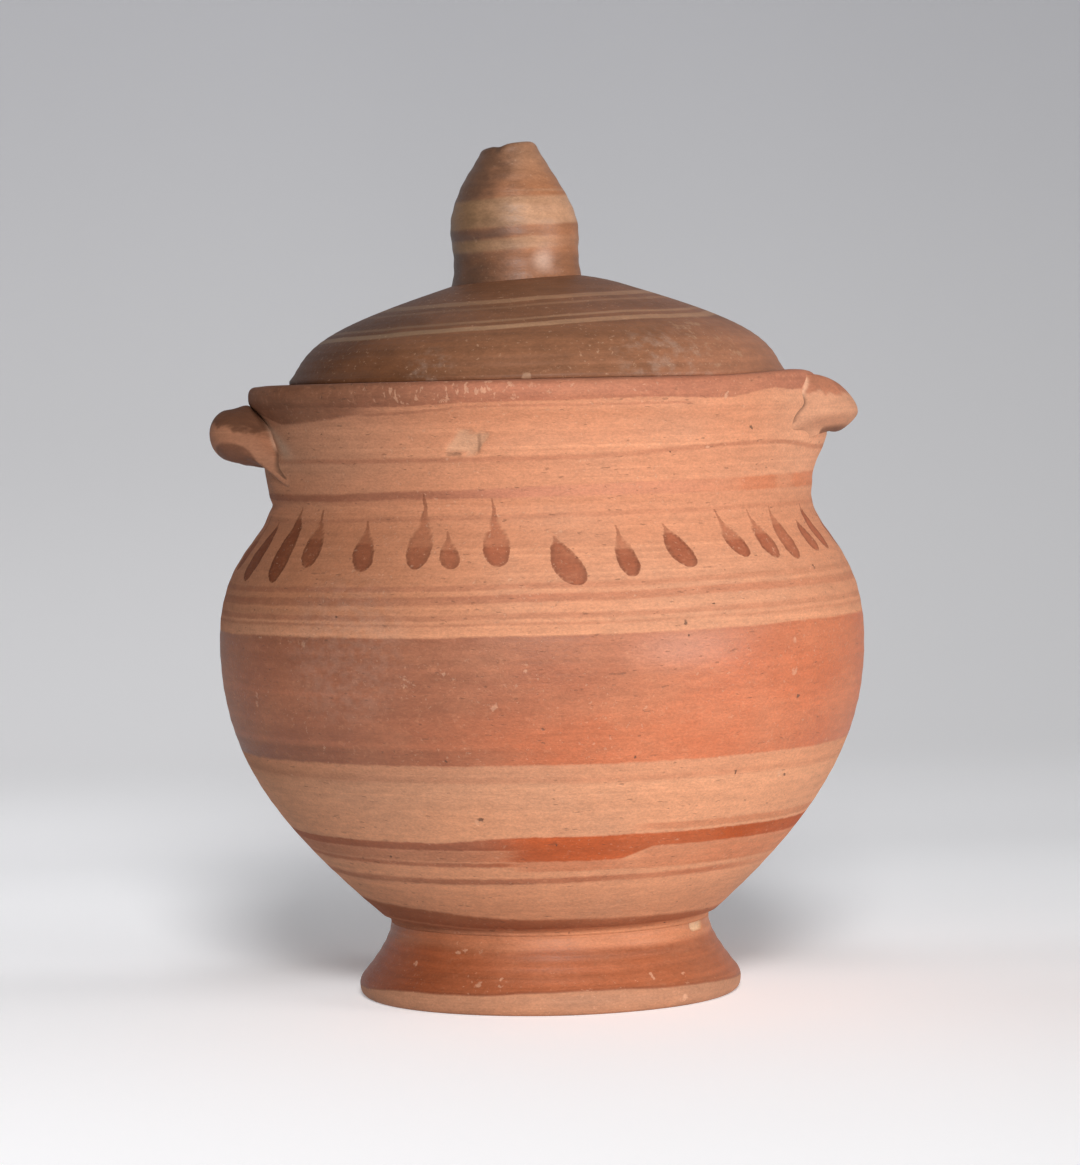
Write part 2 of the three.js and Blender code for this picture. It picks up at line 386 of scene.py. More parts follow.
def handle_smear(angle, level):
    """Clay smeared down the neck under each handle: thickest below the coil, run out all round."""
    from_root = np.abs(angle_between(angle, -90)) - 13
    left = 1.3 * hump(from_root, 7) * smooth_step(level, 98, 105)
    right = 3.0 * hump(angle_between(angle, 90), 20) * smooth_step(level, 101.5, 111)
    return left * (1 - smooth_step(level, 106, 109)) + right * (1 - smooth_step(level, 111, 114))


def scraped_neck(angle, level):
    """1 in the pale strip along the left handle's seam, whose angle goes back as the level squared."""
    seam = -70.5 - 0.15 * (level - 104.5) ** 2
    strip = hump(angle_between(angle, seam + 3.5), 3.2)
    return strip * smooth_step(level, 106.5, 110) * (1 - smooth_step(level, 117, 118))


def lip_shift(angle, level):
    """How far the lip was pressed to the left when the handles went on: -0.57 - 1.32 sin(a) at its edge."""
    return (-0.57 - 1.32 * np.sin(np.radians(angle))) * smooth_step(level, 115.5, 119)


def body_thrown():
    """The jar's wall: its profile carried round, with throwing rings, slow waves, a crease and one flake.

    The rings are a spiral, sin(2 pi z/3.3 - a) + 0.6 sin(2 pi z/7.1 - a + 1), 0.035 deep outside and 0.16
    inside. Outside are also slow waves in a, the belly's lean -0.45 sin(a), a fold in the crease, the smears
    under the handles, and a lip that waves, is pressed to the left and rises beside the right handle.
    """
    profile, side = body_profile()
    angle = round_about(540)
    radius, level, outer = profile[:, :1], profile[:, 1:], side[:, None]
    a = np.radians(angle)
    wall_part = smooth_step(radius, stem_radius - 1, stem_radius + 2) * (1 - smooth_step(level, 118, 121.5))
    spiral = np.sin(2 * math.pi * level / 3.3 - a) + 0.6 * np.sin(2 * math.pi * level / 7.1 - a + 1)
    waves = 0.10 * np.sin(2 * a + 0.7) + 0.06 * np.sin(3 * a + level / 17) + 0.04 * np.sin(5 * a + level / 9)
    lean = -0.45 * np.sin(a) * smooth_step(level, 20, 50) * (1 - smooth_step(level, 85, 100))
    fold = (-0.35 + 0.3 * np.sin(a)) * hump(level - crease_level, 1.1)
    flake, flake_depth = neck_flake(angle, level)
    outside = 0.035 * spiral + waves + lean + fold - flake_depth + handle_smear(angle, level)
    rim_wave = 0.16 * np.sin(2 * a + 2) + 0.1 * np.sin(5 * a + 0.4) + 0.06 * np.sin(11 * a)
    near_edge = smooth_step(radius, neck_radius, neck_radius + 1.5)
    on_rim = smooth_step(level, 117, 119.5) * near_edge
    moved = on_rim * rim_wave + near_edge * lip_shift(angle, level)
    radius_now = radius + wall_part * (outer * outside + (1 - outer) * 0.16 * spiral) + outer * moved
    raised = 1.05 * hump(angle_between(angle, 64), 20)
    level_now = level + outer * on_rim * (raised - 0.1 - 0.1 * np.sin(4 * a + 1))
    fields = drop_fields(angle, level, radius)
    fields["drop_guard"] = fields["drop_guard"] * outer
    fields["bare"] = flake * outer
    fields["scraped"] = scraped_neck(angle, level) * outer
    return skin("body_thrown", turned(radius_now, level_now, angle), fields)


def wall_radius(level):
    """The radius of the jar's outside at a level, before its small unevenness."""
    profile, side = body_profile()
    outside = profile[side > 0][4:]
    return np.interp(level, outside[:, 1], outside[:, 0])


def left_edges(along):
    """Upper and lower edge of the left coil: both fall from the middle of the loop to its roots."""
    upper = 117.75 - 14 * smooth_step(along, 0.05, 1.1)
    lower = 107.3 - smooth_step(along, 0.1, 0.5) - 5.5 * smooth_step(along, 0.45, 0.95)
    return upper, lower


def right_edges(along):
    """Upper and lower edge of the right coil: the upper one climbs beside the lip, then falls."""
    upper = 119.8 + 2.2 * smooth_step(along, 0, 0.62) - 10.5 * smooth_step(along, 0.66, 1.12)
    lower = 110.9 - 2.5 * smooth_step(along, 0.3, 1)
    return upper, lower


def coil_handle(name, side, edges, tip_radius, tip_share, slim, full, half_turn, reach, power, sunk):
    """A clay coil bent into a small loop under the lip and pressed on, its roots smeared down on the neck.

    Along the loop s runs from -1 to 1, at angle half_turn s from the handle's side. The coil's middle line
    lies at radius root + (tip - root) exp(-|s/reach|^power), its roots sunk into the neck. Across, the coil
    runs from its upper to its lower edge as sin(p) and outwards as cos(p), slimmer by slim outside and
    fuller by full inside, with its tip at a share of its height, lumpy underneath. Towards the roots it
    thins as 0.15 + 0.85 exp(-|s/0.75|^3), and its underside runs out as a higher power of cos(p).
    """
    s = np.linspace(-1, 1, 160)[:, None]
    p = np.radians(np.linspace(0, -360 * side, 64, endpoint=False))[None, :]
    along = np.abs(s)
    upper, lower = edges(along)
    middle = lower + tip_share * (upper - lower)
    thickest = (tip_radius - neck_top_radius - 0.7) / 2
    root_radius = neck_radius - sunk
    half_thick = thickest * (0.15 + 0.85 * np.exp(-((along / 0.75) ** 3)))
    swell = np.exp(-((along / reach) ** power))
    lumps = (0.14 * np.sin(9 * s + 2 * p) + 0.12 * np.sin(5 * s - p)) * swell * np.clip(-np.sin(p), 0, 1)
    taper = 1 - (slim + (full - slim) * smooth_step(-np.cos(p), -0.5, 0.6)) * np.cos(p)
    height = np.where(np.sin(p) > 0, upper - middle, middle - lower)
    run_out = 1 + 1.8 * smooth_step(along, 0.25, 0.65) * (np.sin(p) < 0)
    out = np.sign(np.cos(p)) * np.abs(np.cos(p)) ** run_out
    radius = root_radius + (tip_radius - thickest - root_radius) * swell + (half_thick + lumps) * out
    level = middle + (height + lumps) * np.sin(p) * taper
    angle = (90 + half_turn * s) * side
    grid = turned(radius, level, angle)
    off_wall = radius - wall_radius(level) - lip_shift(angle, level) - handle_smear(angle, level)
    left = float(side < 0)
    hang = 0.45 * smooth_step(along, 0.2, 0.5) - 0.6 * (1 - smooth_step(along, 0, 0.3))
    seam = hump(off_wall, 0.3 + 0.2 * left) * (np.sin(p) > 0.2)
    fields = {
        "slip_height": level + left * 3.5 * smooth_step(along, 0.3, 0.7),
        "loop_end": along + 0 * p,
        # under: where the coil faces down, later darkened as painted shade mixed with slip
        "under": np.clip(left * hang - np.sin(p), 0, 1) * (1 - smooth_step(along, 0.5, 0.65)),
        "seam": seam * smooth_step(along, 0.2, 0.5) * (1 - smooth_step(along, 0.86, 0.93)),
    }
    first, last = (grid[end].mean(0)[None, None].repeat(64, 1) for end in (0, -1))
    grid = np.concatenate((first, grid, last))
    fields = {field: np.pad(values, ((1, 1), (0, 0)), mode="edge") for field, values in fields.items()}
    return skin(name, grid, fields)


def lid_thrown():
    """The lid, from the middle of its hollow round the flange, the bearing edge and the dome to its crown.

    The dome has turning rings 0.03 sin(2 pi (r - z)/2.6 + a) and slow waves, and its edge is uneven.
    """
    edge = np.array((lid_radius, rim_level + lid_edge))
    crown = np.array((crown_radius, crown_level))
    fall, rise = edge[0] - crown[0], crown[1] - edge[1]
    hollow_top = crown_level - lid_wall
    bearing = rim_level + 0.05
    crown_rise = 2.8
    profile = path(
        (0, hollow_top),
        (5, (crown_radius - 2, hollow_top)),
        (14, (30, hollow_top - 1), (flange_inner, rim_level + 6), (flange_inner, rim_level)),
        (6, (flange_inner, flange_low + 0.8)),
        (4, (flange_inner, flange_low), (flange_inner + 0.8, flange_low)),
        (3, (flange_radius - 0.8, flange_low)),
        (4, (flange_radius, flange_low), (flange_radius, flange_low + 0.8)),
        (6, (flange_radius, rim_level - 0.5)),
        (4, (flange_radius, bearing), (flange_radius + 0.6, bearing)),
        (5, (lid_radius - 0.2, bearing)),
        (4, (lid_radius, bearing), (lid_radius, rim_level + 0.25)),
        (3, edge),
        (70, edge + (-0.145 * fall, 0.34 * rise), edge + (-0.11 * fall, 0.51 * rise), crown),
        (9, (crown_radius - 8, crown_level + crown_rise), (0, crown_level + crown_rise)),
    )
    angle = round_about(420)
    radius, level = profile[:, :1], profile[:, 1:]
    a = np.radians(angle)
    row = np.arange(len(profile))[:, None]
    on_dome = smooth_step(level, rim_level + 0.2, rim_level + 2)
    on_dome = on_dome * smooth_step(radius, crown_radius - 1, crown_radius + 3)
    on_dome = on_dome * smooth_step(row, len(profile) - 80, len(profile) - 76)
    at_edge = smooth_step(radius, lid_radius - 3, lid_radius - 0.5)
    rings = 0.03 * np.sin(2 * math.pi * (radius - level) / 2.6 + a)
    waves = 0.08 * np.sin(2 * a + 1) + 0.05 * np.sin(4 * a)
    edge_wave = 0.14 * np.sin(3 * a + 1) + 0.09 * np.sin(8 * a) + 0.06 * np.sin(17 * a + 2)
    grid = turned(radius + on_dome * (rings + waves) + at_edge * (edge_wave - 0.25), level, angle)
    return skin("lid_thrown", grid)


def knob_thrown():
    """The knob: waisted foot, swelling, long taper and open tip, carried round its own leaning axis.

    The axis is moved over and sheared, x - lean z; the tip's rim dips by cos(a) and has one notch.
    """
    height = knob_top - knob_base
    foot_r, waist_r, swell_r, tip_r, hole_r = 13.6, 12.5, 12.8, 6.0, 2.4
    waist_z, swell_z, tip_round, hole_depth = 6.0, 11.2, 1.4, 7.0
    shoulder = np.array((swell_r, swell_z))
    tip = np.array((tip_r, height - tip_round))
    fall, rise = shoulder[0] - tip[0], tip[1] - shoulder[1]
    profile = path(
        (0, 0),
        (6, (foot_r - 0.2, 0)),
        (3, (foot_r, 0), (foot_r - 0.1, 0.2)),
        (22, (waist_r, 2), (waist_r, waist_z)),
        (20, (waist_r, waist_z + 2.3), (swell_r, swell_z - 2.3), shoulder),
        (44, shoulder + (0, 0.3 * rise), tip + (0.53 * fall, -0.42 * rise), tip),
        (8, (tip_r - 0.5, height), (tip_r - tip_round, height)),
        (6, (hole_r, height), (hole_r, height - 1)),
        (8, (hole_r - 0.4, height - hole_depth)),
        (3, (0, height - hole_depth)),
    )
    angle = round_about(220)
    radius, level = profile[:, :1], profile[:, 1:]
    a = np.radians(angle)
    near_tip = smooth_step(level, height - 9, height - 0.5)
    outside = smooth_step(radius, hole_r + 0.5, hole_r + 2) * smooth_step(level, 0.3, 2)
    rings = 0.05 * np.sin(2 * math.pi * level / 3.1 + a)
    waves = 0.07 * np.sin(2 * a + 1) + 0.05 * np.sin(3 * a + level / 4)
    notch = hump(angle_between(angle, -25), 14)
    dip = near_tip * (0.7 * (1 - np.cos(np.radians(angle_between(angle, 70)))) + 0.35 * notch)
    grid = turned(radius + outside * (rings + waves), level - dip, angle)
    lean = knob_offset - knob_lean * grid[..., 2:]
    grid = grid + np.concatenate((lean, np.zeros_like(lean), np.full_like(lean, knob_base)), -1)
    return skin("lid_knob_thrown", grid)


# Finishes

class Amount:
    """A number that varies over a surface: a node's output that can be added, taken away and multiplied."""

    def __init__(self, finish, socket):
        self.finish = finish
        self.socket = socket

    def __add__(self, other):
        return self.finish.maths("ADD", self, other)

    def __sub__(self, other):
        return self.finish.maths("SUBTRACT", self, other)

    def __rsub__(self, other):
        return self.finish.maths("SUBTRACT", other, self)

    def __mul__(self, other):
        return self.finish.maths("MULTIPLY", self, other)


class Finish:
    """A material and short calls for its nodes; a plain number or colour may stand wherever a socket can.

    place is the point in millimetres, turn its angle round the jar in degrees, swing the sine of that angle,
    and shaky the point moved a little by noise, so that spots come out ragged.
    """

    def __init__(self, name):
        self.material = bpy.data.materials.new(name)
        self.material.use_nodes = True
        self.tree = self.material.node_tree
        self.shader = self.tree.nodes["Principled BSDF"]
        place = self.node("ShaderNodeTexCoord").outputs["Object"]
        self.place = self.vector("SCALE", place, scale=1 / MM)
        parts = self.node("ShaderNodeSeparateXYZ")
        self.put(parts.inputs[0], self.place)
        self.x, self.y, self.z = (Amount(self, part) for part in parts.outputs)
        angle = self.maths("ARCTAN2", self.x, self.y * -1)
        self.turn = angle * (180 / math.pi)
        self.swing = self.maths("SINE", angle)
        shake = self.node("ShaderNodeTexNoise")
        for key, value in (("Vector", self.place), ("Scale", 0.9), ("Detail", 3.0)):
            self.put(shake.inputs[key], value)
        about_zero = self.vector("SUBTRACT", shake.outputs["Color"], (0.5, 0.5, 0.5))
        self.shaky = self.vector("ADD", self.place, self.vector("SCALE", about_zero, scale=2.2))

    def node(self, kind, **settings):
        made = self.tree.nodes.new(kind)
        for key, value in settings.items():
            setattr(made, key, value)
        return made

    def put(self, socket, value):
        """Links an input to an amount or another node's output, or sets it to a constant."""
        if isinstance(value, Amount):
            value = value.socket
        if isinstance(value, bpy.types.NodeSocket):
            self.tree.links.new(value, socket)
        elif socket.type == "RGBA":
            socket.default_value = (*value, 1)
        else:
            socket.default_value = value

    def maths(self, operation, a, b=0.0, clamp=False):
        made = self.node("ShaderNodeMath", operation=operation, use_clamp=clamp)
        self.put(made.inputs[0], a)
        self.put(made.inputs[1], b)
        return Amount(self, made.outputs[0])

    def most(self, *values):
        """The largest of several amounts."""
        result = values[0]
        for value in values[1:]:
            result = self.maths("MAXIMUM", result, value)
        return result

    def vector(self, operation, a, b=None, scale=None):
        made = self.node("ShaderNodeVectorMath", operation=operation)
        self.put(made.inputs[0], a)
        if b is not None:
            self.put(made.inputs[1], b)
        if scale is not None:
            self.put(made.inputs["Scale"], scale)
        return made.outputs["Vector"]

    def distance(self, place, centre):
        made = self.node("ShaderNodeVectorMath", operation="DISTANCE")
        self.put(made.inputs[0], place)
        self.put(made.inputs[1], centre)
        return Amount(self, made.outputs["Value"])

    def ramp(self, value, low, high, from_value=0.0, to_value=1.0):
        """from_value below low, to_value above high, and a smooth rise between."""
        made = self.node("ShaderNodeMapRange", interpolation_type="SMOOTHSTEP")
        for socket, number in zip(made.inputs, (value, low, high, from_value, to_value)):
            self.put(socket, number)
        return Amount(self, made.outputs[0])

    def mixed(self, share, first, second):
        """The second colour laid over the first as far as its share goes."""
        made = self.node("ShaderNodeMix", data_type="RGBA")
        self.put(made.inputs["Factor"], share)
        self.put(made.inputs[6], first)
        self.put(made.inputs[7], second)
        return made.outputs[2]

    def shaded(self, colour, amount):
        """The colour made lighter or darker by a number about 1."""
        return self.vector("SCALE", colour, scale=amount)

    def moved(self, place, **settings):
        placed = self.node("ShaderNodeMapping")
        self.put(placed.inputs["Vector"], place)
        for key, value in settings.items():
            self.put(placed.inputs[key], value)
        return placed.outputs[0]

    def noise(self, stretch, detail=3.0, roughness=0.55, shift=0.0):
        """Noise about 0.5; stretch gives how many patches lie along each millimetre of x, y and z."""
        placed = self.moved(self.place, Scale=stretch, Location=(shift, shift * 0.7, shift * 1.3))
        made = self.node("ShaderNodeTexNoise")
        for key, value in (("Vector", placed), ("Scale", 1.0), ("Detail", detail), ("Roughness", roughness)):
            self.put(made.inputs[key], value)
        return Amount(self, made.outputs["Fac"])

    def wavering(self, noise, reach):
        """From -reach to reach as the noise goes from low to high."""
        return self.ramp(noise, 0.2, 0.8, -reach, reach)

    def specks(self, spacing, size, share, shift=0.0):
        """Small spots: 1 inside, at most one in each cell of the given spacing, in a share of the cells."""
        made = self.node("ShaderNodeTexVoronoi")
        self.put(made.inputs["Vector"], self.moved(self.shaky, Location=(shift, shift, shift)))
        self.put(made.inputs["Scale"], 1 / spacing)
        pick = self.node("ShaderNodeSeparateColor")
        self.put(pick.inputs[0], made.outputs["Color"])
        inside = Amount(self, pick.outputs[1]) * (size / spacing) - made.outputs["Distance"]
        return self.ramp(inside, 0, 0.1 / spacing) * self.maths("LESS_THAN", pick.outputs[0], share)

    def stripe(self, value, low, high, soft=0.25):
        """1 between two levels, with edges that soften over a little way."""
        above = self.ramp(value, low - soft, low + soft)
        below = self.ramp(value, high - soft, high + soft)
        return self.maths("SUBTRACT", above, below, clamp=True)

    def sector(self, first, last, soft=3.0):
        """1 between two angles round the jar, fading over a few degrees at each end."""
        return self.stripe(self.turn, first, last, soft)

    def tilted(self, level, rise):
        """A level that is higher by rise at the right-hand handle and lower by as much at the left."""
        return self.swing * rise + level

    def attribute(self, name):
        return Amount(self, self.node("ShaderNodeAttribute", attribute_name=name).outputs["Fac"])

    def near(self, angle, level, radius, size):
        """1 close to a point on a turned surface, fading out at the given size."""
        a = math.radians(angle)
        away = self.distance(self.shaky, (radius * math.sin(a), -radius * math.cos(a), level))
        return self.ramp(away, size * 0.5, size, 1.0, 0.0)

    def relief(self, height, depth):
        """Bumps of the given depth in millimetres where height goes from 0 to 1."""
        made = self.node("ShaderNodeBump")
        self.put(made.inputs["Height"], height)
        self.put(made.inputs["Distance"], depth * MM)
        self.put(self.shader.inputs["Normal"], made.outputs[0])

    def surface(self, colour, roughness, sheen):
        self.put(self.shader.inputs["Base Color"], colour)
        self.put(self.shader.inputs["Roughness"], roughness)
        self.put(self.shader.inputs["Specular IOR Level"], sheen)


clay_pale = (0.765, 0.355, 0.195)
clay_warm = (0.635, 0.265, 0.141)
clay_grey = (0.52, 0.28, 0.175)
clay_shaded = (0.47, 0.175, 0.08)
bare_clay = (0.78, 0.45, 0.29)
slip_brown = (0.36, 0.13, 0.072)
slip_orange = (0.58, 0.185, 0.085)


def fired_clay(f):
    """Fired clay: warmer up the jar, greyer in slow patches and at the lower left, with turning lines.

    Returns its colour, the turning lines, the sandy grain and a lightness for the whole surface, slip and
    all: the grain's own light and shade, times painted shade at the upper left, at the left below the belly
    and just above the foot, and painted light at the upper right.
    """
    patches = f.noise((0.022, 0.022, 0.04), detail=3)
    lines = f.noise((0.008, 0.008, 0.9), detail=5, roughness=0.65, shift=3.0)
    coarse = f.noise((0.22, 0.22, 0.9), detail=3, roughness=0.6, shift=7.0)
    grain = f.noise((1.5, 1.5, 2.8), detail=2, roughness=0.7)
    base = f.mixed(f.ramp(f.z, 45, 95), clay_pale, clay_warm)
    base = f.mixed(f.ramp(patches, 0.45, 0.68, 0, 0.35), base, clay_grey)
    base = f.mixed(f.ramp(f.x, -60, -15, 0.45, 0.0) * f.ramp(f.z, 44, 50, 1.0, 0.0), base, clay_grey)
    base = f.mixed(f.ramp(lines, 0.5, 0.72, 0, 0.4), base, clay_pale)
    # Painted shade: darker clay on the left of the shoulder
    base = f.mixed(f.stripe(f.z, 78, 97, 4) * f.ramp(f.x, -45, 0, 0.5, 0.0), base, clay_shaded)
    base = f.shaded(base, f.ramp(lines, 0.25, 0.75, 0.94, 1.06))
    # Painted shade: darker at the upper left, at the left below the belly and just above the foot; painted
    # light: brighter at the upper right
    below_belly = f.ramp(f.z, 46, 66, 1.0, 0.0) + f.ramp(f.z, 42, 48, -0.7, 0.0)
    painted_shade_and_light = (f.ramp(f.x, -60, -10, 0.3, 0.0) * f.ramp(f.z, 55, 90)
            + f.ramp(f.swing, -0.95, -0.2, 0.24, 0.0) * below_belly
            + f.ramp(f.z, 14.8, 16) * f.ramp(f.z, 20, 28, 0.15, 0.0)
            + f.ramp(f.x, 42, 55, 0.0, -0.2) * f.ramp(f.z, 95, 104))
    light = f.ramp(coarse, 0.28, 0.72, 0.93, 1.07) + f.ramp(grain, 0.28, 0.72, -0.1, 0.1)
    return base, lines, grain, light * (1.0 - painted_shade_and_light)


def worn(f, cover, amount):
    """Paint cover thinned in small flecks and slow patches, as old slip wears."""
    patches = f.noise((0.05, 0.05, 0.09), detail=4, shift=11.0)
    spots = f.noise((0.75, 0.75, 0.9), detail=4, roughness=0.65, shift=5.0)
    left = f.ramp(patches, 0.3, 0.62, 1 - amount, 1.0) * f.ramp(spots, 0.30, 0.46, 1 - amount, 1.0)
    return cover * left


def painted(f, under, cover, paint, wear=0.25):
    """Paint over what lies under it, as far as its worn cover goes."""
    return f.mixed(worn(f, cover, wear), under, paint)


def flecks(f, sparse):
    """Ragged pale flecks under half a millimetre, more in some places; sparse nearer 1 leaves fewer."""
    spots = f.ramp(f.noise((1.15, 1.15, 1.3), detail=3, roughness=0.6), sparse, sparse + 0.04)
    places = f.ramp(f.noise((0.07, 0.07, 0.07), detail=3, shift=9.0), 0.36, 0.58)
    return spots * places


def marks(f, places):
    """1 in each of some single marks, given by angle, level, surface radius there and size."""
    return f.most(*[f.near(*place) for place in places])


# Single marks on the jar, the foot and the lid
dark_pits = [
    (-5.7, 57.3, 62.6, 0.6), (-32, 53.2, 61.6, 0.6), (-18, 39.7, 55.2, 0.8), (19.5, 76, 63.9, 0.6),
    (53.5, 85.3, 61.3, 0.7), (-19.5, 95.3, 55.4, 0.5), (9.3, 95.7, 55.2, 0.5), (44.5, 60.8, 63.6, 0.7),
]
pale_chips = [
    (-21.8, 67.6, 64.3, 0.7), (-13.5, 61.7, 63.8, 0.9), (-18.9, 39.1, 54.8, 0.8), (-28.8, 66.5, 64.3, 0.6),
    (-28.9, 65.3, 64.2, 0.6), (-65, 62.5, 63.9, 0.9), (-65.5, 60.8, 63.6, 0.8), (43, 71.6, 64.3, 0.7),
    (43, 65.7, 64.2, 1.0), (44.5, 45.8, 58.6, 0.8), (-8, 68, 64.3, 0.6), (-50, 73, 64.2, 0.8),
    (-18.6, 16, 33, 1.0),
]
foot_scratches = [
    (-55.6, 8.7, 34.1, 0.8), (-38, 11.4, 32.6, 0.7), (-36, 11.8, 32.5, 0.6), (-27.9, 5.8, 36.1, 0.8),
    (-21.1, 6.8, 35.6, 0.6), (-20.6, 5.7, 36.2, 0.6), (28.3, 6.3, 35.8, 0.6), (40.5, 6.1, 35.9, 0.6),
    (37.7, 1.9, 38.1, 0.9),
]
lid_specks = [
    (10.5, 131.1, 40.5, 0.7), (15.5, 129.8, 42.3, 0.7), (33.3, 127, 45.5, 0.9), (-7.5, 122.6, 49.4, 1.0),
]

# Thin lines painted round the jar: middle level, rise to the right, half width and strength
thin_lines = [
    (96.5, 0.7, 0.45, 0.8), (83.8, 0.9, 0.5, 0.9), (81.6, 1.0, 0.75, 1.2),
    (78.3, 0.6, 0.5, 1.0), (76.9, 0.5, 0.25, 0.9), (47.3, -0.3, 0.6, 0.3),
]

# Thin lines left bare round the lid: middle level, half width and strength
bare_lines = [(138.0, 0.4, 0.65), (136.7, 0.2, 0.35), (134.05, 0.22, 0.6), (132.75, 0.42, 0.95)]


class JarPaint(Finish):
    """The finish of the jar's wall, with what its painted parts share.

    height and across are z and x moved a little by noise, so that edges waver; ragged is fine noise, brush
    long level lines and streaks their light and shade; slip is brown at the left and orange at the right.
    """

    def __init__(self, name):
        super().__init__(name)
        slow = self.noise((0.03, 0.03, 0.05), detail=2, shift=20.0)
        fire = self.noise((0.016, 0.016, 0.03), detail=3, shift=50.0)
        self.ragged = self.noise((0.5, 0.5, 0.9), detail=4, roughness=0.65, shift=30.0)
        self.brush = self.noise((0.01, 0.01, 0.5), detail=4, roughness=0.55, shift=40.0)
        self.height = self.z + self.wavering(slow, 0.2) + self.wavering(self.ragged, 0.14)
        self.across = self.x + self.wavering(fire, 16)
        self.streaks = self.ramp(self.brush, 0.25, 0.75, 0.84, 1.14)
        self.slip = self.fired(-45, 40, slip_brown, slip_orange)

    def fired(self, left, right, first, second):
        """Streaky slip whose colour goes from first to second between two places across the jar."""
        return self.shaded(self.mixed(self.ramp(self.across, left, right), first, second), self.streaks)

    def band(self, low, high, soft=0.25):
        """1 between two levels on the wavering height."""
        return self.stripe(self.height, low, high, soft)


def paint_lines(f, base):
    """Thin lines round neck, shoulder and bowl, faint in places, and the band in the crease."""
    faint = f.ramp(f.brush, 0.3, 0.7, 0.4, 0.75)
    slip = f.fired(-45, 40, slip_brown, (0.50, 0.185, 0.097))
    for level, rise, half, strength in thin_lines:
        line = f.band(f.tilted(level - half, rise), f.tilted(level + half, rise))
        base = painted(f, base, f.maths("MULTIPLY", line, faint * strength, clamp=True), slip)
    neck_line = (f.ramp(f.turn, -5, 48, 0, 2.2) + f.ramp(f.turn, 50, 75, 0, -1.4)
                 + f.ramp(f.turn, 75, 150, 0, -0.8) + 107.2)
    line = f.band(neck_line - 0.45, neck_line + 0.45, 0.3)
    base = painted(f, base, line * faint * f.ramp(f.turn, 5, 40, 0.95, 1.6), slip)

    # The crease's band is brown at the left, rubbed pink in front and orange again at the right
    crease = f.band(f.tilted(99.95, 0.4), f.tilted(102.0, 1.2), 0.3)
    kept = f.ramp(f.turn, -35, 8, 0.85, 0.42) + f.sector(39.5, 51.5, 1.5) * 0.4 + f.sector(59, 150, 2) * 0.4
    rubbed = f.mixed(f.ramp(f.x, 10, 40), (0.56, 0.2, 0.13), slip_orange)
    return painted(f, base, crease * kept, f.mixed(f.ramp(f.x, -30, 2), slip_brown, rubbed))


def paint_drops(f, base):
    """Drops: a thin tail of half width 0.25 + 0.5 t, and a blob of half width 1.25 w u^0.9 sqrt(1 - u)."""
    down, width, thick_from = (f.attribute(name) for name in ("drop_down", "drop_width", "drop_thick_from"))
    blob_from = thick_from * 0.3
    in_blob = f.maths("DIVIDE", down - blob_from, 1.0 - blob_from, clamp=True)
    blob = width * 1.25 * f.maths("POWER", in_blob, 0.9) * f.maths("SQRT", 1.0 - in_blob)
    in_tail = f.maths("LESS_THAN", f.maths("ABSOLUTE", down - 0.45), 0.45)
    half_width = f.most(blob, (down * 0.5 + 0.25) * in_tail)
    inside = half_width - f.maths("ABSOLUTE", f.attribute("drop_aside")) + f.wavering(f.ragged, 0.2)
    thickness = f.ramp(down - thick_from, -0.03, 0.03, 0.66, 1.0)
    drop = f.ramp(inside, -0.12, 0.15) * f.stripe(down, 0, 1, 0.01) * thickness
    slip = f.mixed(f.attribute("drop_tone"), (0.185, 0.045, 0.016), (0.365, 0.1, 0.048))
    slip = f.shaded(slip, f.ramp(inside, 0.15, 1.3, 0.75, 1.15))
    return painted(f, base, drop * f.attribute("drop_guard") * 0.92, slip, 0.2)


def paint_band(f, base):
    """Broad band, brown at the upper left and orange at the lower right, with brush tracks, a painted
    highlight and dust.

    Returns the colour and how far the band's slip covers the clay.
    """
    slant = f.across + (f.z - 62) * -1.5
    slip = f.mixed(f.ramp(slant, -30, 34), (0.345, 0.118, 0.06), (0.59, 0.157, 0.063))
    tracks = (f.band(63.2, 64.1, 0.4) * 0.14 + f.band(53.6, 54.5, 0.4) * 0.16
              + f.band(50.3, 53.2, 0.4) * -0.16)
    left_side = f.ramp(f.x, -30, 15, 1.0, 0.0)
    slip = f.shaded(slip, f.ramp(f.brush, 0.2, 0.8, 0.9, 1.1) + tracks * left_side)
    # Painted highlight: a pale pink patch on the band right of the front, where the side lamp would shine
    from_painted_highlight = f.turn - 18
    sheen = f.ramp(from_painted_highlight, -14, 0) * f.ramp(from_painted_highlight, 0, 18, 1.0, 0.0) * f.band(68.5, 74.5, 2.5)
    slip = f.mixed(sheen * 0.4, slip, (0.74, 0.36, 0.255))
    cover = worn(f, f.band(f.tilted(50.3, 0.3), f.tilted(74.7, 0.6), 0.3) * 0.95, 0.2)
    base = f.mixed(cover, base, slip)
    base = painted(f, base, f.band(46.8, 50.4, 0.5) * 0.25, f.slip)
    dust = f.near(-41, 72, 64.3, 18.0) * f.ramp(f.noise((0.5, 0.5, 0.6), detail=4, shift=66.0), 0.3, 0.7)
    return f.mixed(dust * 0.16, base, (0.56, 0.4, 0.315)), cover


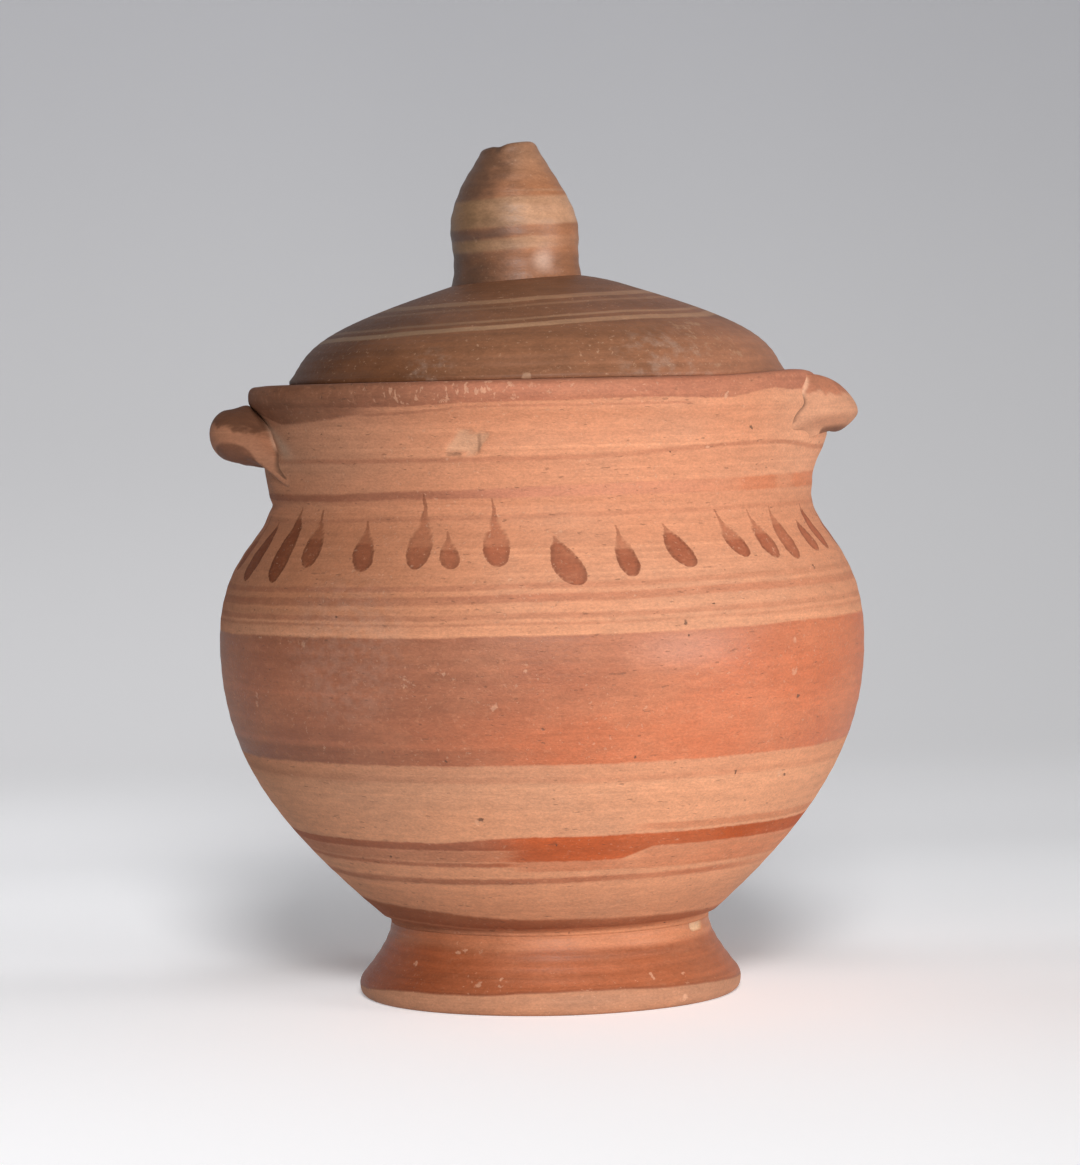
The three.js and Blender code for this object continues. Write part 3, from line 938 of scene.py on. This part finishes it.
def paint_strokes(f, base):
    """Strokes on the lower bowl: one all round, thick in front with a slanting end, thinner ones below."""
    slip = f.mixed(f.ramp(f.across, -30, -4), (0.38, 0.125, 0.066), (0.55, 0.108, 0.028))
    slip = f.fired(5, 40, slip, (0.49, 0.084, 0.013))
    upper_edge = f.ramp(f.turn, -30, -10, 0, 1.2) + f.ramp(f.turn, 110, 165, 0, -1.2) + 34.8
    brush_start = f.ramp(f.turn + f.brush * 14, -14, -4)
    brush_end = f.ramp(f.turn - (f.z - 30.8) * 2.9, 10, 11.5, 1.0, 0.0)
    thick = f.band(30.9, 34) * brush_start * brush_end
    second = f.band(29.9, 30.8, 0.3) * f.ramp(f.turn, -16, -8, 0.8, 0.0)
    base = painted(f, base, f.most(f.band(33.25, upper_edge), thick, second) * 0.95, slip, 0.12)
    right_side = f.ramp(f.turn, 10, 18) * f.ramp(f.turn, 110, 165, 1.0, 0.0)
    wash = f.most(f.band(28.7, 33.3, 0.3) * right_side * 0.42,
                  f.band(36.6, 38.0) * right_side * 0.34,
                  f.band(31, 33.2, 0.3) * f.ramp(f.turn, -20, -10, 0.55, 0.0),
                  f.band(28.8, 31) * f.sector(-12, 18) * 0.36)
    base = painted(f, base, wash, slip, 0.3)
    low_line = f.band(f.tilted(26.3, 0.4), f.tilted(27.5, 0.4), 0.3)
    base = painted(f, base, low_line * f.ramp(f.turn, 35, 60, 0.8, 0.35), f.slip, 0.3)
    return painted(f, base, f.band(28.0, 28.4, 0.2) * f.sector(-12, 60, 6) * 0.6, clay_pale)


def paint_joint(f, base):
    """A ring of slip above the joint with the foot, and below it slip lightened by a painted sheen towards
    the right.
    """
    low = f.ramp(f.turn, -60, -15, 16.8, 16.1)
    high = f.tilted(18.4, -0.9) + f.ramp(f.turn, -60, -15, 1.2, 0)
    slip = f.mixed(f.ramp(f.across, -30, 20), (0.33, 0.1, 0.044), (0.46, 0.155, 0.07))
    base = painted(f, base, f.band(low, high, 0.4) * 0.9, slip, 0.12)
    # Painted highlight: below the ring the slip is paler, most at the right, as a sheen
    slip_with_painted_sheen = f.mixed(f.ramp(f.x, -25, 10), (0.40, 0.145, 0.072), (0.66, 0.27, 0.135))
    return f.mixed(f.ramp(f.height - low, -0.4, 0.2, 0.9, 0.0), base, slip_with_painted_sheen)


def paint_lip(f, base):
    """Slip on the lip, chipped in front, the wash under its left half and one thin line."""
    low = (f.tilted(118.05, 0.85) + f.ramp(f.turn, 15, 34, 0, -0.65) + f.ramp(f.turn, 34, 50, 0, 1.52)
           + f.ramp(f.turn, 50, 58, 0, -0.4))
    slip = f.fired(-50, 0, (0.24, 0.095, 0.05), (0.43, 0.155, 0.088))
    wash_low = f.ramp(f.turn, -62, -36, 114.5, 116.4)
    clear_of_handle = f.ramp(f.z + (f.turn + 90) * 0.18, 117.7, 118.2)
    wash = f.band(wash_low, 118.2, 0.3) * clear_of_handle * f.ramp(f.turn, -52, -32, 0.85, 0.0)
    line_level = f.ramp(f.turn, -45, -10, 116.0, 117.1)
    line = f.band(line_level - 0.25, line_level + 0.25, 0.15) * f.sector(-42, 26, 2) * 0.55
    lip = f.ramp(f.height - low, -0.2, 0.2)
    base = painted(f, base, f.most(lip * 0.95, wash, line), slip, 0.3)
    chips = f.ramp(f.noise((0.9, 0.9, 0.45), detail=3, shift=61.0), 0.57, 0.64)
    chipped = chips * f.sector(-40, -6, 6) * f.ramp(f.height, 117.8, 118.2)
    return f.mixed(chipped * 0.6, base, (0.68, 0.36, 0.225))


def body_finish():
    """Painted clay: lines, drops, broad band, strokes, joint, lip, scrapes, flake edged in painted shade,
    and pores.
    """
    f = JarPaint("painted_clay")
    base, lines, grain, light = fired_clay(f)
    base = f.mixed(f.ramp(f.x, -60, -15, 0.5, 0.0) * f.ramp(f.z, 102, 107), base, clay_grey)
    # Painted light: paler clay at the upper right of the neck
    base = f.mixed(f.ramp(f.x, 36, 48, 0.0, 0.2) * f.ramp(f.z, 96, 104), base, bare_clay)
    base = paint_drops(f, paint_lines(f, base))
    base, band_cover = paint_band(f, base)
    base = paint_lip(f, paint_joint(f, paint_strokes(f, base)))
    base = f.mixed(f.attribute("scraped") * 0.75, base, (0.62, 0.41, 0.285))
    base = f.mixed(f.attribute("bare") * 0.6, base, (0.62, 0.36, 0.22))
    # Painted shade along the flake's lower and right edges
    flake_edge_shade = f.most(f.band(107.9, 108.7, 0.2) * f.sector(-23.8, -20.8, 0.4),
                        f.band(108.6, 111.8, 0.5) * f.sector(-17.4, -16.7, 0.25))
    base = f.mixed(flake_edge_shade * 0.6, base, (0.26, 0.13, 0.075))
    dashes = f.ramp(f.noise((0.4, 0.4, 1.7), detail=2, shift=90.0), 0.68, 0.73)
    pores = f.most(f.specks(5.0, 0.42, 0.5), dashes * 0.45, marks(f, dark_pits))
    pale = f.most(flecks(f, 0.63) * 0.8, f.specks(6.0, 0.7, 0.3, shift=70.0), marks(f, pale_chips))
    base = f.mixed(pores * 0.8, base, (0.13, 0.07, 0.045))
    base = f.mixed(pale * 0.38, base, bare_clay)
    rough = f.ramp(grain, 0.2, 0.8, 0.62, 0.8) + band_cover * -0.24
    sheen = f.ramp(band_cover, 0, 1, 0.25, 0.4) * f.ramp(f.swing, -0.95, -0.6, 0.4, 1.0)
    f.surface(f.shaded(base, light), rough, sheen)
    f.relief(grain * 0.5 + lines * 0.25 + pores * -0.7 + pale * -0.3 + f.brush * 0.12, 0.18)
    return f.material


def foot_finish():
    """Red-brown slip brushed round the foot, paler under the joint with a painted sheen, and the bare edge
    below it.
    """
    f = Finish("foot_slip")
    base, lines, grain, light = fired_clay(f)
    brush = f.noise((0.012, 0.012, 0.7), detail=5, roughness=0.6, shift=8.0)
    fire = f.noise((0.02, 0.02, 0.05), detail=3, shift=15.0)
    across = f.x + f.wavering(fire, 12)
    slip = f.mixed(f.ramp(across, -34, 4), (0.265, 0.054, 0.013), (0.40, 0.116, 0.046))
    slip = f.shaded(slip, f.ramp(brush, 0.22, 0.78, 0.78, 1.2))
    height = f.z + f.wavering(f.noise((0.04, 0.04, 0.02), detail=2, shift=25.0), 0.5)
    above_edge = height - f.ramp(f.y, -38, 10, 4.3, 2.2)
    slipped = f.ramp(above_edge, -0.2, 0.2)
    base = painted(f, f.shaded(base, 0.7), slipped * 0.96, slip, 0.14)
    # Painted highlight: a pale sheen on the upper foot, strongest at the right
    painted_sheen = f.stripe(height, 12.0, 18.0, 0.9) * f.ramp(f.x, -30, 10, 0.2, 0.6)
    base = f.mixed(painted_sheen, base, (0.66, 0.28, 0.14))
    base = f.mixed(f.stripe(above_edge, -0.15, 0.35, 0.15) * 0.4, base, (0.2, 0.06, 0.03))
    pale = f.most(flecks(f, 0.64) * 0.8, f.specks(8.0, 0.8, 0.3, shift=52.0))
    base = f.mixed(pale * 0.4, base, bare_clay)
    base = f.mixed(marks(f, foot_scratches) * 0.45, base, bare_clay)
    base = f.mixed(f.attribute("bare") * 0.95, base, (0.82, 0.55, 0.33))
    f.surface(f.shaded(base, light), f.ramp(grain, 0.2, 0.8, 0.6, 0.76) + slipped * -0.2, 0.3)
    f.relief(grain * 0.4 + lines * 0.3 + brush * 0.35, 0.17)
    return f.material


def handle_finish(name, lightness, slip_colour, slip_level, underside_shade_colour, underside_shade_from, pale_seam_from):
    """Clay coil with slip brushed over its top down to a level, a dark underside of slip and painted shade,
    and a seam. The seam is dark, and pale above a level: bare clay in the left one, a painted highlight on
    the ridge beside the right one.
    """
    f = Finish(name)
    base, lines, grain, light = fired_clay(f)
    ragged = f.noise((0.2, 0.2, 0.3), detail=3, shift=6.0)
    level = f.attribute("slip_height") + f.wavering(ragged, 0.9)
    slip = f.shaded(slip_colour, f.ramp(ragged, 0.2, 0.8, 0.8, 1.2))
    clear_of_roots = f.ramp(f.attribute("loop_end"), 0.75, 0.95, 1.0, 0.0)
    brushed = f.ramp(level, slip_level - 0.6, slip_level + 0.6) * clear_of_roots
    base = f.mixed(f.ramp(f.x, 0, 20, 0, 0.5), base, clay_grey)
    base = f.mixed(brushed * 0.85, base, slip)
    # Painted shade with slip: the coil's underside is darkened where it faces down
    base = f.mixed(f.ramp(f.attribute("under"), underside_shade_from, underside_shade_from + 0.2, 0, 0.8), base, underside_shade_colour)
    # Pale part of the seam: on the right handle a painted highlight, on the left bare clay
    pale = f.ramp(f.z, pale_seam_from - 1, pale_seam_from + 1)
    base = f.mixed(f.attribute("seam") * 0.75, base, f.mixed(pale, (0.12, 0.06, 0.035), bare_clay))
    f.surface(f.shaded(base, light * lightness), f.ramp(grain, 0.2, 0.8, 0.6, 0.8), 0.25)
    f.relief(grain * 0.5 + lines * 0.3 + ragged * 0.4, 0.2)
    return f.material


def lid_finish():
    """Brown slip, darker and greener on the left, with pairs of thin bare lines that rise to the right."""
    f = Finish("lid_slip")
    base, lines, grain, light = fired_clay(f)
    brush = f.noise((0.012, 0.012, 0.6), detail=5, roughness=0.6, shift=8.0)
    fire = f.noise((0.03, 0.03, 0.06), detail=4, shift=18.0)
    mottle = f.noise((0.25, 0.25, 0.3), detail=4, roughness=0.6, shift=44.0)
    across = f.x + f.wavering(fire, 16)
    slip = f.mixed(f.ramp(across, -46, -4), (0.13, 0.043, 0.012), (0.25, 0.104, 0.05))
    slip = f.mixed(f.ramp(across, 0, 48), slip, (0.37, 0.155, 0.083))
    slip = f.shaded(slip, f.ramp(brush, 0.22, 0.78, 0.84, 1.16) * f.ramp(mottle, 0.25, 0.75, 0.92, 1.08)
                    * f.ramp(f.z, 126, 139, 1.0, 0.84))
    wobble = f.noise((0.05, 0.05, 0.08), detail=2, shift=28.0)
    height = f.z + f.x * -0.052 + f.wavering(wobble, 0.2)
    tan = f.mixed(f.ramp(across, -34, 24), (0.28, 0.16, 0.088), (0.50, 0.27, 0.15))
    left_bare = f.most(*[f.stripe(height, level - half, level + half, 0.13) * strength
                         for level, half, strength in bare_lines])
    colour = f.mixed(left_bare * f.ramp(brush, 0.3, 0.6, 0.6, 1.0), slip, tan)
    blotch = f.noise((0.4, 0.4, 0.5), detail=4, roughness=0.65, shift=74.0)
    rubbed = f.near(44, 128, 43, 13.0) * f.ramp(blotch, 0.54, 0.66)
    dusty = f.most(f.near(-30, 124.5, 48.5, 6.0), f.near(26, 123, 49, 14.0)) * f.ramp(blotch, 0.42, 0.7)
    specks = f.most(flecks(f, 0.63) * 0.8, marks(f, lid_specks))
    colour = f.mixed(rubbed * 0.45, colour, (0.50, 0.29, 0.17))
    colour = f.mixed(dusty * 0.35, colour, (0.42, 0.30, 0.23))
    colour = f.mixed(specks * 0.45, colour, (0.62, 0.38, 0.24))
    underneath = f.ramp(f.z, rim_level - 0.3, rim_level, 1.0, 0.0)
    f.surface(f.shaded(f.mixed(underneath, colour, base), light), f.ramp(grain, 0.2, 0.8, 0.46, 0.6), 0.28)
    f.relief(grain * 0.4 + lines * 0.25 + brush * 0.3, 0.15)
    return f.material


def knob_finish():
    """Brown slip over the knob with two tan bands left bare, dark on the left and warmer on the right."""
    f = Finish("knob_slip")
    _, lines, grain, light = fired_clay(f)
    brush = f.noise((0.03, 0.03, 0.5), detail=5, roughness=0.6, shift=8.0)
    mottle = f.noise((0.2, 0.2, 0.25), detail=4, shift=14.0)
    across = f.x + f.wavering(mottle, 3)
    leaning = across + f.ramp(f.z, 155, 168, 0, -4.5)
    slip = f.mixed(f.ramp(leaning, -16, -1), (0.14, 0.068, 0.039), (0.37, 0.15, 0.068))
    slip = f.mixed(f.ramp(f.z, 159, 166, 0, 0.5) * f.ramp(across, -9, -3), slip, (0.37, 0.2, 0.115))
    slip = f.shaded(slip, f.ramp(f.z, 145, 149, 0.78, 1.0))
    tan = f.mixed(f.ramp(across, -15, 4), (0.235, 0.128, 0.064), (0.50, 0.265, 0.15))
    wobble = f.noise((0.06, 0.06, 0.08), detail=2, shift=24.0)
    height = f.z + f.x * -0.04 + f.wavering(wobble, 0.3)
    upper_band = f.stripe(height, 152.8, 158.4, 0.45)
    lower_band = f.stripe(height, 148.1, 150.4, 0.45) * f.ramp(f.x, -3, 6, 1.0, 0.2)
    slip_patch = f.near(73, 154.3, 12.2, 2.8) * 0.8
    bare = f.maths("SUBTRACT", f.most(upper_band, lower_band), slip_patch, clamp=True)
    colour = f.mixed(bare * f.ramp(mottle, 0.3, 0.6, 0.85, 1.0), slip, tan)
    thin_line = f.stripe(height, 159.3, 159.7, 0.25) * f.ramp(f.x, -10, 2, 0.0, 0.5)
    colour = f.mixed(thin_line, colour, tan)
    between = f.stripe(height, 150.8, 152.5, 0.4) * f.ramp(f.x, -14, 5, 0.7, 0.1)
    colour = f.mixed(between, colour, (0.12, 0.056, 0.034))
    streaks = f.ramp(brush, 0.22, 0.78, 0.9, 1.1) * f.ramp(mottle, 0.25, 0.75, 0.93, 1.07)
    colour = f.mixed(flecks(f, 0.64) * 0.22, f.shaded(colour, streaks), (0.6, 0.38, 0.25))
    # Painted highlight: a soft pale glint low on the right of the knob
    from_painted_glint = f.distance(f.place, (0.3, -11.8, 145.6))
    colour = f.mixed(f.ramp(from_painted_glint, 0.2, 3.4, 0.42, 0.0), colour, (0.82, 0.56, 0.43))
    colour = f.mixed(f.near(-55, 167.4, 8.3, 1.2) * 0.6, colour, (0.09, 0.05, 0.033))
    f.surface(f.shaded(colour, light), f.ramp(grain, 0.2, 0.8, 0.40, 0.54), 0.4)
    f.relief(grain * 0.4 + lines * 0.25 + mottle * 0.5, 0.16)
    return f.material


# The stage: a pale floor that curves up into a wall, lamps and camera

def paper_finish():
    """Pale paper that greys towards the wall, with a glow of its own only for what is seen or mirrored.

    It is clear when seen from behind, so that the wall never hides the back of the jar. Behind the jar and
    beside its foot the glow is lowered, a painted shadow.
    """
    f = Finish("pale_paper")
    floor = f.mixed(f.ramp(f.y, 150, 480), (0.94, 0.935, 0.935), (0.70, 0.695, 0.70))
    f.surface(f.mixed(f.ramp(f.z, 5, 330), floor, (0.42, 0.42, 0.445)), 0.9, 0.2)
    seen = f.node("ShaderNodeLightPath").outputs
    mirrored = f.maths("MAXIMUM", seen["Is Glossy Ray"], seen["Is Transmission Ray"])
    shown = f.maths("MAXIMUM", seen["Is Camera Ray"], mirrored)
    # Painted shadow: less glow behind the jar and beside its foot
    behind = (f.ramp(f.maths("ABSOLUTE", f.x), 45, 85, 1.0, 0.0) * f.ramp(f.y, 0, 50)
              * f.ramp(f.y, 100, 330, 1.0, 0.0))
    depth = (f.ramp(f.y, -150, 20, 0.31, 0.262) + f.ramp(f.y, 20, 70, 0.0, 0.065)
             + f.ramp(f.y, 170, 260, 0.0, -0.02) + behind * -0.17)
    height = f.ramp(f.z, 0, 17, 0.0, -0.09) + f.ramp(f.z, 17, 118, 0.0, -0.065)
    side = (f.ramp(f.x, 0, 150, 0.0, 0.035) * f.ramp(f.z, 17, 118)
            + f.ramp(f.x, -150, 0, -0.025, 0.0) * f.ramp(f.z, 2, 15)
            + f.ramp(f.x, 40, 150, 0.0, -0.06) * f.ramp(f.y, -40, 0, 1.0, 0.0))
    glow = (depth + height + side) * f.ramp(f.x, -260, 260, 1.38, 0.8)
    f.put(f.shader.inputs["Emission Color"], (0.965, 0.965, 1.0))
    f.put(f.shader.inputs["Emission Strength"], glow * shown)
    either_side = f.node("ShaderNodeMixShader")
    f.put(either_side.inputs[0], f.node("ShaderNodeNewGeometry").outputs["Backfacing"])
    f.put(either_side.inputs[1], f.shader.outputs[0])
    f.put(either_side.inputs[2], f.node("ShaderNodeBsdfTransparent").outputs[0])
    f.put(f.tree.nodes["Material Output"].inputs["Surface"], either_side.outputs[0])
    return f.material


def sweep():
    """Floor and wall in one sheet: flat to floor_back, a quarter circle, then upright; straight across."""
    floor_front, floor_back, curve, wall_top, half_width = -1400.0, 260.0, 420.0, 1500.0, 1500.0
    turn = np.radians(np.linspace(-90, 0, 24))[1:]
    side = np.concatenate((
        straight((floor_front, 0), (floor_back, 0), 12),
        np.stack((floor_back + curve * np.cos(turn), curve + curve * np.sin(turn)), 1),
        straight((floor_back + curve, curve), (floor_back + curve, wall_top), 8)[1:],
    ))
    across = np.linspace(-half_width, half_width, 9)[None, :]
    grid = np.stack(np.broadcast_arrays(across, side[:, :1], side[:, 1:]), -1) * MM
    rows, cols = grid.shape[:2]
    corner = np.arange(rows - 1)[:, None] * cols + np.arange(cols - 1)[None, :]
    faces = np.stack((corner, corner + 1, corner + cols + 1, corner + cols), -1).reshape(-1, 4)
    mesh = bpy.data.meshes.new("sweep")
    mesh.from_pydata(grid.reshape(-1, 3), [], faces)
    mesh.polygons.foreach_set("use_smooth", np.ones(len(faces), bool))
    mesh.materials.append(paper_finish())
    sheet = bpy.data.objects.new("sweep", mesh)
    bpy.context.scene.collection.objects.link(sheet)


def lamp(name, azimuth, elevation, distance, size, spread, watts):
    """A square soft lamp aimed at the middle of the jar; distance and size are in metres."""
    a, e = math.radians(azimuth), math.radians(elevation)
    towards = Vector((math.sin(a) * math.cos(e), -math.cos(a) * math.cos(e), math.sin(e)))
    jar_middle = Vector((0, 0, 0.08))
    light = bpy.data.lights.new(name, "AREA")
    light.size = size
    light.spread = math.radians(spread)
    light.energy = watts
    holder = bpy.data.objects.new(name, light)
    holder.location = jar_middle + towards * distance
    holder.rotation_euler = towards.to_track_quat("Z", "Y").to_euler()
    bpy.context.scene.collection.objects.link(holder)


def studio():
    """A soft front lamp that throws the shadow behind the jar, a low lamp from the right, and room light.

    Past the sweep the room is shown to the camera paler than the light it gives.
    """
    lamp("front_lamp", azimuth=-2, elevation=25, distance=1.5, size=0.35, spread=180, watts=15.8)
    lamp("side_lamp", azimuth=58, elevation=6, distance=1.1, size=0.5, spread=60, watts=0.78)
    room_light, room_shown = 0.11, 0.5
    world = bpy.data.worlds.new("room")
    world.use_nodes = True
    nodes, links = world.node_tree.nodes, world.node_tree.links
    strength = nodes.new("ShaderNodeMapRange")
    for socket, number in zip(list(strength.inputs)[1:5], (0, 1, room_light, room_shown)):
        socket.default_value = number
    links.new(nodes.new("ShaderNodeLightPath").outputs["Is Camera Ray"], strength.inputs[0])
    links.new(strength.outputs[0], nodes["Background"].inputs["Strength"])
    nodes["Background"].inputs["Color"].default_value = (0.96, 0.98, 1.0, 1)
    bpy.context.scene.world = world
    bpy.context.scene.view_settings.view_transform = "Standard"


def camera_at_photograph():
    """The camera from slightly left of the front, a little below the rim, rolled by about a degree."""
    azimuth, distance, eye_level = -5.0, 829.0, 117.3
    pitch, roll, aside = math.radians(-2.4576), math.radians(1.2295), math.radians(0.0371)
    frame_height, focal_pixels, sensor = 1165, 4148.5, 36.0
    a = math.radians(azimuth)
    place = Vector((math.sin(a) * distance, -math.cos(a) * distance, eye_level)) * MM
    heading = a + aside
    ahead = Vector((-math.sin(heading), math.cos(heading), 0))
    forward = ahead * math.cos(pitch) + Vector((0, 0, math.sin(pitch)))
    level_right = forward.cross(Vector((0, 0, 1))).normalized()
    level_up = level_right.cross(forward)
    right = level_right * math.cos(roll) - level_up * math.sin(roll)
    up = level_right * math.sin(roll) + level_up * math.cos(roll)
    lens = bpy.data.cameras.new("camera")
    lens.sensor_fit = "AUTO"
    lens.sensor_width = sensor
    lens.lens = focal_pixels / frame_height * sensor
    lens.clip_start = 0.05
    camera = bpy.data.objects.new("camera", lens)
    turn = Matrix((right, up, -forward)).transposed().to_4x4()
    camera.matrix_world = Matrix.Translation(place) @ turn
    bpy.context.scene.collection.objects.link(camera)
    bpy.context.scene.camera = camera


stand_for(foot_turned(), "foot", "vessel", foot_finish())
stand_for(body_thrown(), "body", "vessel", body_finish())
left_handle = coil_handle("handle_left_coil", -1, left_edges, tip_radius=65.7, tip_share=0.52, slim=-0.06,
                          full=0.6, half_turn=23.0, reach=0.55, power=2.4, sunk=1.2)
right_handle = coil_handle("handle_right_coil", 1, right_edges, tip_radius=63.9, tip_share=0.4, slim=0.35,
                           full=0.15, half_turn=35.0, reach=0.67, power=2.2, sunk=1.5)
left_clay = handle_finish("left_coil_clay", lightness=0.86, slip_colour=(0.16, 0.06, 0.028),
                          slip_level=114.2, underside_shade_colour=(0.26, 0.1, 0.055), underside_shade_from=0.1,
                          pale_seam_from=109.5)
right_clay = handle_finish("right_coil_clay", lightness=0.92, slip_colour=(0.42, 0.15, 0.08),
                           slip_level=118.3, underside_shade_colour=(0.14, 0.055, 0.03), underside_shade_from=0.78,
                           pale_seam_from=118.0)
stand_for(left_handle, "handle_left", "vessel", left_clay)
stand_for(right_handle, "handle_right", "vessel", right_clay)
stand_for(lid_thrown(), "lid", "lid", lid_finish())
stand_for(knob_thrown(), "lid_knob", "lid", knob_finish())
sweep()
studio()
camera_at_photograph()
